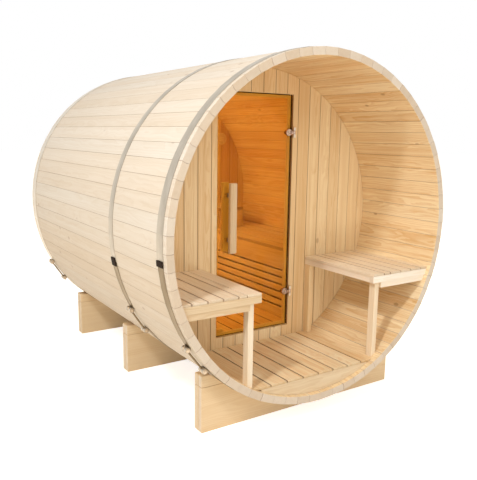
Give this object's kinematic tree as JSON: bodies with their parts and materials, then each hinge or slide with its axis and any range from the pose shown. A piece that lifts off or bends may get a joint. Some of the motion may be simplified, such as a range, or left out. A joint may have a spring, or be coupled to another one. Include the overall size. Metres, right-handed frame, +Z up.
{
  "type": "barrel sauna",
  "caption": "Barrel sauna of timber staves held by steel bands on timber cradles, with an open porch, slatted benches and a hinged amber glass door into a bench-lined room.",
  "frame": {"origin": "on the ground under the middle of the barrel's length and width", "axes": "+Z up, +Y along the barrel away from the porch, +X to the right seen from the porch"},
  "size_m": [1.8124, 2.1, 1.8784],
  "materials": {
    "stave_pine": "planed pale pine, unfinished",
    "wall_pine": "planed pine boards, unfinished",
    "floor_pine": "planed pine boards, unfinished",
    "bench_pine": "sanded pale pine, unfinished",
    "band_steel": "satin steel strap",
    "bright_metal": "polished",
    "dark_rubber": "matt black-brown",
    "amber_glass": "clear amber tint"
  },
  "bodies": {
    "sauna": {"staves_upper_left": "stave_pine", "staves_left": "stave_pine", "staves_lower_left": "stave_pine", "staves_lower_right": "stave_pine", "staves_right": "stave_pine", "staves_upper_right": "stave_pine", "cradle_front": "stave_pine", "cradle_middle": "stave_pine", "cradle_rear": "stave_pine", "front_wall_left": "wall_pine", "front_wall_right": "wall_pine", "front_wall_header": "wall_pine", "front_wall_sill": "wall_pine", "rear_wall": "wall_pine", "rear_vent": "wall_pine", "door_stops": "wall_pine", "inner_bench_slats": "wall_pine", "inner_bench_frame": "wall_pine", "inner_bench_skirt": "wall_pine", "inner_bench_posts": "wall_pine", "head_rest": "wall_pine", "porch_deck": "floor_pine", "deck_fascia": "floor_pine", "deck_bearers": "floor_pine", "room_floor": "floor_pine", "floor_bearers": "floor_pine", "left_bench_slats": "bench_pine", "left_bench_frame": "bench_pine", "left_bench_legs": "bench_pine", "right_bench_slats": "bench_pine", "right_bench_frame": "bench_pine", "right_bench_legs": "bench_pine", "band_front": "band_steel", "band_middle": "band_steel", "band_rear": "band_steel", "band_tensioners": "bright_metal", "hinge_leaves": "bright_metal", "band_pads": "dark_rubber", "door_seal": "dark_rubber"},
    "door": {"door_glass": "amber_glass", "hinge_clamps": "bright_metal", "handle_outer": "bench_pine", "handle_inner": "bench_pine"}
  },
  "joints": [
    {"name": "door_hinge", "type": "hinge", "parent": "sauna", "child": "door", "pos_m": [0.2485, -0.453, 0.9872], "axis": [0, 0, 1], "range_deg": [0, 100]}
  ]
}
